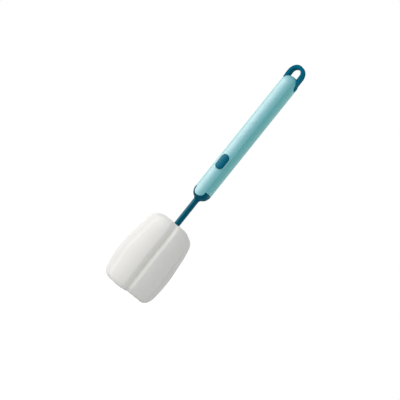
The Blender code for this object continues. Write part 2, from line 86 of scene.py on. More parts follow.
# Stem and collar, one moulding
COLLAR_TOP = 0.1330
COLLAR_DOME = 0.0112
COLLAR_RIM_INSET = WALL / 8
COLLAR_NECK_RADIUS = 0.0045
FILLET_LENGTH = 0.0022
FILLET_POWER = 1.5
FILLET_TURN = math.radians(11)
FILLET_STEPS = 8
SPIGOT_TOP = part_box("stem_and_collar")[1].z
STEM_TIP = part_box("stem_and_collar")[0].z
STEM_RADIUS = 0.0033
STEM_BORE = 0.00165
STEM_CHAMFER = 0.0004
STEM_SIDES = 128
SPRING_POCKET_RADIUS = 0.0042
SPRING_POCKET_FLOOR = 0.1295

# Front panel
PANEL_HALF_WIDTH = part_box("front_panel")[1].x
PANEL_REAR_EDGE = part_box("front_panel")[1].y
PANEL_EDGE = 0.0005
PANEL_EDGE_STEPS = 4
TONGUE_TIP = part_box("front_panel")[0].z
SEAM_OFFSET = 0.00015
SEAM_CENTRE = PANEL_HALF_WIDTH + SEAM_OFFSET
ROUND_END_STEPS = 41

# Release button and the raised lip round it
BUTTON_HEIGHT = 0.1690
BUTTON_HALF_WIDTH = 0.0046
BUTTON_HALF_LENGTH = 0.0085
BUTTON_END_SHARE = 0.90
BUTTON_PROUD = 0.0010
BUTTON_ROUNDING = 0.0019
BUTTON_GAP = 0.00022
BUTTON_TOP_RINGS = 8
BUTTON_EDGE_STEPS = 10
OVAL_CORNER_STEPS = 20
OVAL_SIDE_STEPS = 8
FLANGE_LIP = 0.0009
FLANGE_THICKNESS = 0.0010
LIP_PROUD = 0.00085
LIP_REACH = 0.0012
LIP_STEPS = 12
LIP_CREST_POWER = 0.8

# Release mechanism
RAMP_HEIGHT = 0.1670
RAMP_CLEARANCE = 0.0003
POST_HALF_WIDTH = 0.0020
POST_BOTTOM = 0.1630
POST_TOP = 0.1750
POST_REACH = 0.0005
WEDGE_LOW, WEDGE_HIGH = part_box("rod_wedge")
WEDGE_EDGE = 0.0003
SOCKET_SIDES = 48
ROD_LOW, ROD_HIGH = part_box("push_rod")
ROD_CHAMFER = 0.0003
ROD_SIDES = 64
SPRING_LOW, SPRING_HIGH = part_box("rod_return_spring")
SPRING_WIRE = 0.0005
SPRING_TURNS = 9
SPRING_TURN_STEPS = 40
WIRE_ROUNDING = 3

# Hanging loop, a flat strap whose arch is a little higher than a half circle
LOOP_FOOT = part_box("hang_loop")[0].z
LOOP_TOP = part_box("hang_loop")[1].z
LOOP_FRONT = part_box("hang_loop")[0].y
LOOP_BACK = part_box("hang_loop")[1].y
LOOP_FOOT_HALF_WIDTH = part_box("hang_loop")[1].x
LOOP_HALF_WIDTH = 0.0092
LOOP_HOLE_HALF_WIDTH = 0.0053
LOOP_ARCH_HEIGHT = 0.0115
LOOP_BAND_TOP = 0.0042
LOOP_BAR_TOP = 0.2790
LOOP_FLARE_TOP = 0.2830
LOOP_ARCH_STEPS = 72
LOOP_HOLE_STEPS = 56
LOOP_EDGE = 0.0013

# Its feet, which end flush with the handle, and the waist where each widens forward into the band
FOOT_FRONT = -0.0047
FOOT_SINK = 0.00008
FOOT_FLUSH_TOP = 0.2795
FOOT_FREE_TOP = 0.2850
WAIST_LOW = 0.2805
WAIST_HIGH = 0.2870
WAIST_STEPS = 12

# Foam head: crest radius and height down its outline, and how deep the grooves cut there
FOAM_OUTLINE = (
    (0.0036, 0.0866, 0.0000),
    (0.0052, 0.0875, 0.0001),
    (0.0095, 0.0880, 0.0005),
    (0.0145, 0.0879, 0.0013),
    (0.0190, 0.0866, 0.0024),
    (0.0234, 0.0842, 0.0031),
    (0.0261, 0.0806, 0.0037),
    (0.0277, 0.0762, 0.0041),
    (0.0292, 0.0690, 0.0043),
    (0.0304, 0.0590, 0.0044),
    (0.0316, 0.0480, 0.0045),
    (0.0323, 0.0370, 0.0045),
    (0.0323, 0.0260, 0.0044),
    (0.0315, 0.0170, 0.0043),
    (0.0304, 0.0100, 0.0040),
    (0.0285, 0.0050, 0.0037),
    (0.0256, 0.0019, 0.0031),
    (0.0220, 0.0004, 0.0025),
    (0.0180, 0.0000, 0.0018),
    (0.0120, 0.0000, 0.0007),
    (0.0050, 0.0000, 0.0000),
    (0.0010, 0.0000, 0.0000),
)
OUTLINE_STEPS = 6

# Lobes: how much of the grooves' depth is their own roundness, and how soft their shoulders are
LOBES = 6
LOBE_STEPS = 36
LOBE_SWELL = 0.06
SHOULDER_ROUNDING = 0.14

# Grooves, counted anticlockwise from the middle one of the photograph: the depth of each, and the
# share of the half width that is left on its anticlockwise side
GROOVE_TURN = math.radians(-62.6)
GROOVE_DEPTHS = (0.80, 0.65, 1.0, 1.0, 1.0, 0.30)
GROOVE_HALF_WIDTH = 0.0056
GROOVE_FAR_SHARES = (0.58, 0.85, 0.85, 0.85, 0.85, 1.0)
GROOVE_ROUNDING = 0.16

# Unevenness of the foam, which fades out near the stem: a lean, a bow at mid height, a droop of
# the right shoulder, a lift of the foot right of its middle, and a wave. A span says where one
# starts and where it is full.
FOAM_FREE_SPAN = (0.003, 0.020)
FOAM_LEAN = 0.0008
FOAM_BOW = 0.0006
FOAM_BOW_HEIGHT = 0.042
FOAM_BOW_SPREAD = 0.018
FOAM_DROOP = 0.095
FOAM_DROOP_SPAN = (0.045, 0.088)
FOAM_DROOP_SIDE = 0.001
FOAM_LIFT = 0.0015
FOAM_LIFT_TOP = 0.040
FOAM_LIFT_RISE = (-0.001, 0.005)
FOAM_LIFT_FALL = (0.010, 0.026)
FOAM_WAVE = 0.00028
FOAM_WAVE_LENGTH = 0.016
FOAM_WAVE_FOOT = 0.006

# Core: the top and radius of each step of its outside, and the bore for the stem. The foam keeps
# clear of it, and closes in on the stem at its mouth.
CORE_FOOT = 0.0260
CORE_STEPS = (
    (0.0276, 0.0110),
    (0.0440, 0.0049),
    (0.0452, 0.0075),
    (0.0600, 0.0049),
    (0.0612, 0.0075),
    (0.0746, 0.0049),
    (0.0760, 0.0090),
)
CORE_BORE = 0.0036
CORE_FLOOR = 0.0297
CORE_EDGE = 0.00025
CORE_EDGE_STEPS = 2
CORE_SIDES = 96
FOAM_CLEARANCE = 0.0003
FOAM_BORE_TOP = 0.0830
FOAM_MOUTH = 0.0855

# Moulded plastic: a drift of tone, patches of gloss and a fine grain
DRIFT_SIZE = 0.022
DRIFT_STRETCH = (1.0, 1.0, 0.35)
PATCH_SIZE = 0.009
PATCH_GLOSS = 0.02
GRAIN_SIZE = 0.0005
GRAIN_DEPTH = 0.000002
GRAIN_STRENGTH = 0.3
PLASTIC_IOR = 1.49
PLAIN_SHINE = (1.0, 1.0, 1.0)
TEAL_SHINE = (0.1, 0.8, 1.0)

# Foam: its colour, the painted shade in its pores and down its grooves, its cells and pores, its
# softness
FOAM_COLOUR = (0.89, 0.895, 0.87)
FOAM_ROUGHNESS = 0.95
PORE_PAINTED_SHADE = (0.79, 0.785, 0.745)
GROOVE_PAINTED_SHADE = (0.74, 0.735, 0.64)
GROOVE_SHADE_REACH = 0.75
GROOVE_SHADE_SPAN = (0.45, 0.95)
CELL_SIZE = 0.0011
CELL_SMOOTHNESS = 0.6
CELL_SPAN = (0.05, 0.45)
CELL_DEPTH = 0.00016
CELL_STRENGTH = 0.55
CELL_SHADE = 0.35
CELL_SHADE_SPAN = (0.10, 0.40)
PORE_SIZE = 0.00045
PORE_DEPTH = 0.00010
PORE_STRENGTH = 0.60
PORE_SHADE = 0.75
PORE_SHADE_SPAN = (0.30, 0.60)
FOAM_SHADER = {
    "Subsurface Weight": 0.15,
    "Subsurface Radius": (1.0, 0.93, 0.82),
    "Subsurface Scale": 0.0030,
    "Sheen Weight": 0.08,
    "Sheen Roughness": 0.6,
    "Specular IOR Level": 0.6,
    "IOR": 1.40,
}

# Drawn steel: fine lines round the wire
STEEL_COLOUR = (0.62, 0.63, 0.65)
STEEL_ROUGHNESS = 0.28
STEEL_ROUGH_SPAN = (0.22, 0.36)
LINE_SIZE = 0.00030
LINE_STRETCH = (1.0, 1.0, 0.08)
LINE_DEPTH = 0.000004
LINE_STRENGTH = 0.5

# Camera of the photograph: the brush is turned, and the camera rolled so that the loop is up right
TURN = math.radians(22)
ROLL = math.radians(38.71)
FRAME_WIDTH = 0.420
DISTANCE = 2.2
CENTRE_HEIGHT = 0.1232
CENTRE_SIDE = 0.0030
SENSOR_WIDTH = 36.0

# Surroundings as light: a key side to the camera's left, shade opposite, and a weaker fill from
# behind on the right. An edge is the cosine of the angle from a side's middle at which it ends.
AMBIENT_LIT = 1.44
AMBIENT_SHADE = 0.23
KEY_TURN = math.radians(68)
KEY_EDGE = -0.25
FILL_LIT = 0.55
FILL_TURN = math.radians(118)
FILL_EDGE = 0.3
SHEEN_COLOUR = (1.0, 0.86, 0.85)

# Floor: its own glow as the camera sees it, which makes it white, and as it lights the brush
FLOOR_HALF_SIZE = 3.0
FLOOR_COLOUR = (0.55, 0.55, 0.55)
FLOOR_GLOW_SEEN = 0.88
FLOOR_GLOW_CAST = 0.26

RIGHT = Vector((math.cos(TURN), math.sin(TURN), 0.0))
TO_CAMERA = Vector((math.sin(TURN), -math.cos(TURN), 0.0))
UP = Vector((0.0, 0.0, 1.0))


# Building

def add_object(name, data):
    """A new object in the scene that shows the given data."""
    obj = bpy.data.objects.new(name, data)
    bpy.context.scene.collection.objects.link(obj)
    return obj


def settle(obj):
    """Replaces an object's modifiers by the mesh that they make."""
    bpy.context.view_layer.update()
    graph = bpy.context.evaluated_depsgraph_get()
    mesh = bpy.data.meshes.new_from_object(obj.evaluated_get(graph))
    obj.modifiers.clear()
    obj.data = mesh
    return obj


def turned(name, profile, sides, ring=False):
    """A solid of revolution about Z. The profile runs down its outside; a ring's is closed."""
    mesh = bpy.data.meshes.new(name)
    points = [(radius, 0.0, height) for radius, height in profile]
    edges = [(i, i + 1) for i in range(len(points) - 1)]
    if ring:
        edges.append((len(points) - 1, 0))
    mesh.from_pydata(points, edges, [])
    obj = add_object(name, mesh)
    screw = obj.modifiers.new("Turn", "SCREW")
    screw.axis = "Z"
    screw.steps = sides
    screw.render_steps = sides
    screw.use_merge_vertices = True
    screw.merge_threshold = TURNED_WELD
    return obj


def plate(name, outlines, plane, low, high, edge=0.0):
    """Closed outlines in the XZ or YZ plane, filled and extruded from low to high across it."""
    curve = bpy.data.curves.new(name, "CURVE")
    curve.dimensions = "2D"
    curve.fill_mode = "BOTH"
    for outline in outlines:
        spline = curve.splines.new("POLY")
        spline.points.add(len(outline) - 1)
        spline.use_cyclic_u = True
        for point, (across, up) in zip(spline.points, outline):
            point.co = (across, up, 0.0, 1.0)
    curve.extrude = (high - low) / 2 - edge
    curve.bevel_depth = edge
    curve.bevel_resolution = CURVE_EDGE_STEPS
    curve.offset = -edge
    guide = add_object(name + "_outline", curve)
    middle = (low + high) / 2
    if plane == "XZ":
        turn = Matrix(((1, 0, 0, 0), (0, 0, -1, middle), (0, 1, 0, 0), (0, 0, 0, 1)))
    else:
        turn = Matrix(((0, 0, 1, middle), (1, 0, 0, 0), (0, 1, 0, 0), (0, 0, 0, 1)))
    return mesh_of_curve(name, guide, turn)


def mesh_of_curve(name, guide, turn):
    """Replaces a curve object by its welded mesh, turned into place."""
    bpy.context.view_layer.update()
    graph = bpy.context.evaluated_depsgraph_get()
    mesh = bpy.data.meshes.new_from_object(guide.evaluated_get(graph))
    bpy.data.objects.remove(guide, do_unlink=True)
    form = bmesh.new()
    form.from_mesh(mesh)
    bmesh.ops.remove_doubles(form, verts=form.verts, dist=CURVE_WELD)
    bmesh.ops.recalc_face_normals(form, faces=form.faces)
    bmesh.ops.transform(form, matrix=turn, verts=form.verts)
    form.to_mesh(mesh)
    form.free()
    return add_object(name, mesh)


def box(name, low, high):
    """A plain block between two corners, used as a cutter."""
    low, high = Vector(low), Vector(high)
    form = bmesh.new()
    bmesh.ops.create_cube(form, size=1.0)
    place = Matrix.Translation((low + high) / 2) @ Matrix.Diagonal((*(high - low), 1.0))
    bmesh.ops.transform(form, matrix=place, verts=form.verts)
    mesh = bpy.data.meshes.new(name)
    form.to_mesh(mesh)
    form.free()
    return add_object(name, mesh)


def loft(name, rings, first_pole=None, last_pole=None):
    """A skin over rings of equal counts, closed by two poles, or end to end without them."""
    form = bmesh.new()
    rows = [[form.verts.new(point) for point in ring] for ring in rings]
    count = len(rings[0])
    pairs = list(zip(rows, rows[1:]))
    if first_pole is None:
        pairs.append((rows[-1], rows[0]))
    for row, next_row in pairs:
        for k in range(count):
            following = (k + 1) % count
            form.faces.new((row[k], next_row[k], next_row[following], row[following]))
    if first_pole is not None:
        start = form.verts.new(first_pole)
        end = form.verts.new(last_pole)
        for k in range(count):
            following = (k + 1) % count
            form.faces.new((start, rows[0][k], rows[0][following]))
            form.faces.new((end, rows[-1][following], rows[-1][k]))
    bmesh.ops.recalc_face_normals(form, faces=form.faces)
    mesh = bpy.data.meshes.new(name)
    form.to_mesh(mesh)
    form.free()
    return add_object(name, mesh)


def combine(obj, operation, other):
    """Adds, cuts or keeps what obj shares with another object, which is used up."""
    boolean = obj.modifiers.new(operation, "BOOLEAN")
    boolean.operation = operation
    boolean.solver = "EXACT"
    boolean.object = other
    settle(obj)
    bpy.data.objects.remove(other, do_unlink=True)


def round_edges(obj, width, segments=EDGE_STEPS):
    """Welds the slivers that a cut leaves, and rounds the sharp edges."""
    weld = obj.modifiers.new("Slivers", "WELD")
    weld.merge_threshold = SLIVER
    bevel = obj.modifiers.new("Rounded edges", "BEVEL")
    bevel.width = width
    bevel.segments = segments
    bevel.limit_method = "ANGLE"
    bevel.angle_limit = SHARP
    settle(obj)


def true_normals(obj, normal_at):
    """Gives the faces that lie on a known curved surface that surface's own normals."""
    mesh = obj.data
    normals = [Vector(corner.vector) for corner in mesh.corner_normals]
    for face in mesh.polygons:
        if face.normal.angle(normal_at(face.center), math.pi) > NEAR_TRUE:
            continue
        for corner in face.loop_indices:
            place = mesh.vertices[mesh.loops[corner].vertex_index].co
            normals[corner] = normal_at(place)
    mesh.normals_split_custom_set(normals)


def smooth(obj, angle=SHARP):
    """Smooth shading, broken only at edges sharper than the angle."""
    obj.data.shade_smooth()
    obj.data.set_sharp_from_angle(angle=angle)
    return obj


# Outlines

def dome_outline(radius, height, base, steps, end_radius=0.0, up=True):
    """Points (radius, height) from a dome's rim to its crown, or to where end_radius is left."""
    last = math.acos((end_radius / radius) ** (DOME_POWER / 2)) if end_radius else math.pi / 2
    points = []
    for k in range(steps + 1):
        turn = last * k / steps
        reach = max(math.cos(turn), 0.0) ** (2 / DOME_POWER)
        rise = math.sin(turn) ** (2 / DOME_POWER)
        points.append((radius * reach, base + height * rise * (1 if up else -1)))
    if not end_radius:
        points[-1] = (0.0, points[-1][1])
    return points


def handle_normal(place):
    """The outward direction of the handle's outer surface: a cylinder with a superellipse dome."""
    radius = math.hypot(place.x, place.y)
    if radius < SLIVER:
        return Vector((0.0, 0.0, 1.0))
    outward = Vector((place.x / radius, place.y / radius, 0.0))
    rise = (place.z - DOME_BASE) / DOME_HEIGHT
    if rise <= 0.0:
        return outward
    across = (radius / HANDLE_RADIUS) ** (DOME_POWER - 1) / HANDLE_RADIUS
    along = rise ** (DOME_POWER - 1) / DOME_HEIGHT
    return (outward * across + Vector((0.0, 0.0, along))).normalized()


def collar_normal(place):
    """The outward direction of the dark moulding: round spigot and stem, and a domed collar."""
    radius = math.hypot(place.x, place.y)
    outward = Vector((place.x / radius, place.y / radius, 0.0))
    drop = (COLLAR_TOP - place.z) / COLLAR_DOME
    if drop <= 0.0 or radius < COLLAR_NECK_RADIUS - SLIVER:
        return outward
    across = (radius / HANDLE_RADIUS) ** (DOME_POWER - 1) / HANDLE_RADIUS
    along = min(drop, 1.0) ** (DOME_POWER - 1) / COLLAR_DOME
    return (outward * across - Vector((0.0, 0.0, along))).normalized()


def arc(across, up, radius, start, end, steps):
    """Points on an arc about (across, up)."""
    return [
        (
            across + radius * math.cos(start + (end - start) * k / steps),
            up + radius * math.sin(start + (end - start) * k / steps),
        )
        for k in range(steps + 1)
    ]


def oval(half_width, half_length):
    """Points (x, z) round the button's oval, about its centre: straight sides, round ends."""
    radius = BUTTON_END_SHARE * half_width
    across, along = half_width - radius, half_length - radius
    points = []
    for quarter, (side, end) in enumerate([(1, 1), (-1, 1), (-1, -1), (1, -1)]):
        start = quarter * math.pi / 2
        stop = start + math.pi / 2
        corner = arc(side * across, end * along, radius, start, stop, OVAL_CORNER_STEPS)
        points += corner
        if quarter % 2:
            x, z = corner[-1]
            shares = [k / OVAL_SIDE_STEPS for k in range(1, OVAL_SIDE_STEPS)]
            points += [(x, z * (1 - 2 * share)) for share in shares]
    return points


def oval_ring(radius, grow_across=0.0, grow_along=0.0, share=1.0):
    """The button's oval, grown or scaled, laid on a round surface about the brush's axis."""
    half_width = (BUTTON_HALF_WIDTH + grow_across) * share
    half_length = (BUTTON_HALF_LENGTH + grow_along) * share
    return [
        Vector((x, -math.sqrt(radius**2 - x**2), BUTTON_HEIGHT + z))
        for x, z in oval(half_width, half_length)
    ]


# Handle

def shell_profile(bottom):
    """The section of the handle's wall, from the crown down to bottom and back up inside."""
    inner_radius = HANDLE_RADIUS - WALL
    outside = dome_outline(HANDLE_RADIUS, DOME_HEIGHT, DOME_BASE, DOME_STEPS)
    inside = dome_outline(inner_radius, DOME_HEIGHT - WALL, DOME_BASE, INNER_DOME_STEPS)
    return outside[::-1] + [(HANDLE_RADIUS, bottom), (inner_radius, bottom)] + inside


def panel_outline(half_width, top):
    """The panel from the front: a half circle at its lower end, straight sides and a flat top."""
    centre = TONGUE_TIP + PANEL_HALF_WIDTH
    low_end = arc(0.0, centre, half_width, math.pi, 2 * math.pi, ROUND_END_STEPS)
    return low_end + [(half_width, top), (-half_width, top)]


def notches():
    """The openings at both sides of the dome in which the loop's legs stand."""
    outline = loop_side_outline(SEAM, LOOP_TOP)
    near = LOOP_HOLE_HALF_WIDTH - SEAM
    return [
        plate("left_notch", [outline], "YZ", -CUT_REACH, -near),
        plate("right_notch", [outline], "YZ", near, CUT_REACH),
    ]


def loop_side_outline(spare, top):
    """The loop from its side, grown by spare: a round foot that widens forward into the band."""
    middle = (FOOT_FRONT + LOOP_BACK) / 2
    radius = (LOOP_BACK - FOOT_FRONT) / 2
    centre = LOOP_FOOT + radius
    outline = arc(middle, centre, radius + spare, math.pi, 2 * math.pi, ROUND_END_STEPS)
    outline += [(LOOP_BACK + spare, top), (LOOP_FRONT - spare, top)]
    for k in range(WAIST_STEPS, -1, -1):
        share = (1 - math.cos(math.pi * k / WAIST_STEPS)) / 2
        front = FOOT_FRONT + (LOOP_FRONT - FOOT_FRONT) * share
        height = WAIST_LOW + (WAIST_HIGH - WAIST_LOW) * k / WAIST_STEPS
        outline.append((front - spare, height))
    return outline


def make_grip_shell():
    """The handle's main shell, open in front for the panel."""
    shell = turned("grip_shell", shell_profile(COLLAR_TOP + SEAM), HANDLE_SIDES)
    half_width = SEAM_CENTRE + SEAM / 2
    opening = box(
        "opening",
        (-half_width, -CUT_REACH, COLLAR_TOP - WALL),
        (half_width, PANEL_REAR_EDGE + 2 * SEAM, HANDLE_TOP + WALL),
    )
    combine(shell, "DIFFERENCE", opening)
    for notch in notches():
        combine(shell, "DIFFERENCE", notch)
    round_edges(shell, SHELL_EDGE)
    smooth(shell)
    true_normals(shell, handle_normal)
    return shell


def make_button_panel():
    """The strip with the button's window, its raised lip, and the tongue over the collar."""
    panel = turned("button_panel", shell_profile(TONGUE_TIP - WALL), HANDLE_SIDES)
    outline = panel_outline(SEAM_CENTRE - SEAM / 2, HANDLE_TOP + WALL)
    combine(panel, "INTERSECT", plate("strip", [outline], "XZ", -CUT_REACH, PANEL_REAR_EDGE))
    for notch in notches():
        combine(panel, "DIFFERENCE", notch)
    round_edges(panel, PANEL_EDGE, PANEL_EDGE_STEPS)
    combine(panel, "UNION", lip())
    window_outline = [
        (x, BUTTON_HEIGHT + z)
        for x, z in oval(BUTTON_HALF_WIDTH + BUTTON_GAP, BUTTON_HALF_LENGTH + BUTTON_GAP)
    ]
    window = plate("window", [window_outline], "XZ", -CUT_REACH, 0.0)
    combine(panel, "DIFFERENCE", window)
    smooth(panel)
    true_normals(panel, handle_normal)
    return panel


def lip():
    """The bead round the window: it rises from the opening to a round crest and falls again."""
    rings = []
    for k in range(LIP_STEPS + 1):
        out = k / LIP_STEPS
        rise = LIP_PROUD * math.sin(math.pi * out ** LIP_CREST_POWER)
        rings.append(oval_ring(HANDLE_RADIUS + rise, LIP_REACH * out, LIP_REACH * out))
    rings.append(oval_ring(HANDLE_RADIUS - WALL / 2, LIP_REACH, LIP_REACH))
    rings.append(oval_ring(HANDLE_RADIUS - WALL / 2))
    return loft("lip", rings)


def make_stem_moulding():
    """One dark moulding: hollow stem, domed collar, and the spigot inside the handle."""
    spigot = HANDLE_RADIUS - WALL - SEAM
    dome = dome_outline(
        HANDLE_RADIUS, COLLAR_DOME, COLLAR_TOP, DOME_STEPS, COLLAR_NECK_RADIUS, up=False
    )
    neck = dome[-1][1]
    fillet = []
    for k in range(1, FILLET_STEPS + 1):
        run = math.sin(FILLET_TURN * k)
        spread = (COLLAR_NECK_RADIUS - STEM_RADIUS) * (1 - run) ** FILLET_POWER
        fillet.append((STEM_RADIUS + spread, neck - FILLET_LENGTH * run))
    profile = [(SPRING_POCKET_RADIUS, SPIGOT_TOP), (spigot - STEM_CHAMFER, SPIGOT_TOP)]
    profile += [(spigot, SPIGOT_TOP - STEM_CHAMFER), (spigot, COLLAR_TOP)]
    profile += [(HANDLE_RADIUS - COLLAR_RIM_INSET, COLLAR_TOP)]
    profile += dome[1:]
    profile += fillet
    profile += [(STEM_RADIUS, STEM_TIP + STEM_CHAMFER), (STEM_RADIUS - STEM_CHAMFER, STEM_TIP)]
    profile += [(STEM_BORE, STEM_TIP), (STEM_BORE, SPRING_POCKET_FLOOR)]
    profile += [(SPRING_POCKET_RADIUS, SPRING_POCKET_FLOOR)]
    stem = turned("stem_moulding", profile, STEM_SIDES, ring=True)
    inside = spigot - SEAM
    section = [(CUT_REACH, SPIGOT_TOP), (CUT_REACH, STEM_TIP)]
    section += [(inside, STEM_TIP), (inside, SPIGOT_TOP)]
    pocket = turned("pocket", section, STEM_SIDES, ring=True)
    outline = panel_outline(SEAM_CENTRE + SEAM / 2, COLLAR_TOP + WALL)
    combine(pocket, "INTERSECT", plate("lap", [outline], "XZ", -CUT_REACH, 0.0))
    combine(stem, "DIFFERENCE", pocket)
    smooth(stem)
    true_normals(stem, collar_normal)
    return stem


def make_loop_strap():
    """The hanging loop: a stirrup whose bar lies under the panel's end cap."""
    arch = LOOP_TOP - LOOP_ARCH_HEIGHT
    rise = LOOP_ARCH_HEIGHT / LOOP_HALF_WIDTH
    round_top = arc(0.0, 0.0, LOOP_HALF_WIDTH, 0.0, math.pi, LOOP_ARCH_STEPS)
    outside = [(LOOP_FOOT_HALF_WIDTH, LOOP_FOOT), (LOOP_HALF_WIDTH, LOOP_FLARE_TOP)]
    outside += [(x, arch + rise * z) for x, z in round_top]
    outside += [(-LOOP_HALF_WIDTH, LOOP_FLARE_TOP), (-LOOP_FOOT_HALF_WIDTH, LOOP_FOOT)]
    hole_arch = LOOP_TOP - LOOP_BAND_TOP - LOOP_HOLE_HALF_WIDTH
    hole = [(LOOP_HOLE_HALF_WIDTH, LOOP_BAR_TOP)]
    hole += arc(0.0, hole_arch, LOOP_HOLE_HALF_WIDTH, 0.0, math.pi, LOOP_HOLE_STEPS)
    hole += [(-LOOP_HOLE_HALF_WIDTH, LOOP_BAR_TOP)]
    loop = plate("loop_strap", [outside, hole], "XZ", LOOP_FRONT, LOOP_BACK, edge=LOOP_EDGE)
    side = loop_side_outline(0.0, LOOP_TOP + WALL)
    combine(loop, "INTERSECT", plate("loop_side", [side], "YZ", -CUT_REACH, CUT_REACH))
    flush = HANDLE_RADIUS - FOOT_SINK
    above, below = LOOP_TOP + WALL, LOOP_FOOT - WALL
    bound = [(0.0, above), (CUT_REACH, above), (CUT_REACH, FOOT_FREE_TOP)]
    bound += [(flush, FOOT_FLUSH_TOP), (flush, below), (0.0, below)]
    combine(loop, "INTERSECT", turned("foot_bound", bound, HANDLE_SIDES))
    return smooth(loop)


# Release mechanism

def make_button_cap():
    """The oval cap, a flange that holds it behind the window, and the wedge-ended post."""
    top = HANDLE_RADIUS + BUTTON_PROUD
    flange_top = HANDLE_RADIUS - WALL - BUTTON_GAP
    flange_back = flange_top - FLANGE_THICKNESS
    rings = []
    for k in range(1, BUTTON_TOP_RINGS + 1):
        share = k / (BUTTON_TOP_RINGS + 1)
        rings.append(oval_ring(top, -BUTTON_ROUNDING, -BUTTON_ROUNDING, share))
    for k in range(BUTTON_EDGE_STEPS + 1):
        turn = math.pi / 2 * k / BUTTON_EDGE_STEPS
        inset = BUTTON_ROUNDING * (1 - math.sin(turn))
        drop = BUTTON_PROUD * (1 - math.cos(turn))
        rings.append(oval_ring(top - drop, -inset, -inset))
    rings.append(oval_ring(flange_top))
    rings.append(oval_ring(flange_top, FLANGE_LIP, FLANGE_LIP))
    rings.append(oval_ring(flange_back, FLANGE_LIP, FLANGE_LIP))
    button = loft(
        "button_cap", rings, (0.0, -top, BUTTON_HEIGHT), (0.0, -flange_back, BUTTON_HEIGHT)
    )
    root = -flange_back - FLANGE_THICKNESS / 2
    outline = [
        (root, POST_BOTTOM),
        (POST_BOTTOM - RAMP_HEIGHT, POST_BOTTOM),
        (POST_REACH, POST_REACH + RAMP_HEIGHT),
        (POST_REACH, POST_TOP),
        (root, POST_TOP),
    ]
    post = plate("post", [outline], "YZ", -POST_HALF_WIDTH, POST_HALF_WIDTH)
    combine(button, "UNION", post)
    return smooth(button)


def make_ramp_block():
    """The block on the rod's end, whose ramp the button's post pushes on."""
    low, high = WEDGE_LOW, WEDGE_HIGH
    ramp_foot = RAMP_HEIGHT - RAMP_CLEARANCE * math.sqrt(2)
    outline = [
        (low.y, low.z),
        (high.y, low.z),
        (high.y, high.z),
        (high.z - ramp_foot, high.z),
        (low.y, ramp_foot + low.y),
    ]
    block = plate("ramp_block", [outline], "YZ", low.x, high.x)
    round_edges(block, WEDGE_EDGE)
    socket = ROD_HIGH.x + SEAM
    roof = ROD_HIGH.z + SEAM
    section = [(0, roof), (socket, roof), (socket, SPIGOT_TOP), (0, SPIGOT_TOP)]
    combine(block, "DIFFERENCE", turned("socket", section, SOCKET_SIDES))
    return smooth(block)


def make_steel_rod():
    """The rod down the hollow stem, chamfered at both ends."""
    radius, top, foot = ROD_HIGH.x, ROD_HIGH.z, ROD_LOW.z
    profile = [
        (0.0, top),
        (radius - ROD_CHAMFER, top),
        (radius, top - ROD_CHAMFER),
        (radius, foot + ROD_CHAMFER),
        (radius - ROD_CHAMFER, foot),
        (0.0, foot),
    ]
    return smooth(settle(turned("steel_rod", profile, ROD_SIDES)), ROD_SHARP)


def make_coil_spring():
    """The coil round the rod, as one wire."""
    count = SPRING_TURNS * SPRING_TURN_STEPS
    radius = SPRING_HIGH.x - SPRING_WIRE / 2
    low, high = SPRING_LOW.z + SPRING_WIRE / 2, SPRING_HIGH.z - SPRING_WIRE / 2
    curve = bpy.data.curves.new("coil", "CURVE")
    curve.dimensions = "3D"
    spline = curve.splines.new("POLY")
    spline.points.add(count)
    for k, point in enumerate(spline.points):
        turn = 2 * math.pi * k / SPRING_TURN_STEPS
        height = low + (high - low) * k / count
        point.co = (radius * math.cos(turn), radius * math.sin(turn), height, 1.0)
    curve.bevel_depth = SPRING_WIRE / 2
    curve.bevel_resolution = WIRE_ROUNDING
    curve.use_fill_caps = True
    guide = add_object("coil_path", curve)
    return smooth(mesh_of_curve("coil_spring", guide, Matrix.Identity(4)), ROUND_SHARP)


# Foam head

def core_profile(spare):
    """The core's stepped outside, from its top down to its foot, grown by spare."""
    outside = [(0.0, CORE_FOOT - spare)]
    radii_above = [radius for top, radius in CORE_STEPS[1:]] + [0.0]
    for (top, radius), radius_above in zip(CORE_STEPS, radii_above):
        rise = spare if radius_above < radius else -spare
        outside.append((radius + spare, outside[-1][1]))
        outside.append((radius + spare, top + rise))
    return outside[::-1]


def make_foam_core():
    """The plastic core that the foam is fixed on, with discs that grip it."""
    outside = core_profile(0.0)
    top = outside[0][1]
    bore = [(0.0, CORE_FLOOR), (CORE_BORE, CORE_FLOOR), (CORE_BORE, top)]
    core = settle(turned("foam_core", bore + outside, CORE_SIDES))
    round_edges(core, CORE_EDGE, CORE_EDGE_STEPS)
    return smooth(core)


def between(p, q, r, s, t):
    """A smooth curve's value at share t of the way from q to r, with p before and s after them."""
    return q + 0.5 * t * (r - p + t * (2 * p - 5 * q + 4 * r - s + t * (3 * (q - r) + s - p)))


def spline_rows(rows, steps):
    """A smooth run through rows of numbers, with steps between each two."""
    padded = [rows[0]] + list(rows) + [rows[-1]]
    made = []
    for near in zip(padded, padded[1:], padded[2:], padded[3:]):
        for k in range(steps):
            made.append(tuple(between(*values, k / steps) for values in zip(*near)))
    made.append(tuple(rows[-1]))
    return made


def groove_share(turn, radius):
    """How much of the full depth is cut at this angle: the lobe's own fall, and the groove."""
    spacing = 2 * math.pi / LOBES
    nearest = round((turn - GROOVE_TURN) / spacing) % LOBES
    depth = GROOVE_DEPTHS[nearest]
    around = (turn - GROOVE_TURN) % spacing
    if around > spacing / 2:
        around = spacing - around
        reach = GROOVE_HALF_WIDTH
    else:
        reach = GROOVE_HALF_WIDTH * GROOVE_FAR_SHARES[nearest]
    fall = (1 + math.cos(LOBES * around)) / 2
    across = around * radius / reach
    rise = math.hypot(across, GROOVE_ROUNDING) - GROOVE_ROUNDING
    valley = 1 - rise / (1 - GROOVE_ROUNDING / 2)
    groove = (valley + math.hypot(valley, SHOULDER_ROUNDING)) / 2
    return LOBE_SWELL * fall + (1 - LOBE_SWELL) * groove * depth


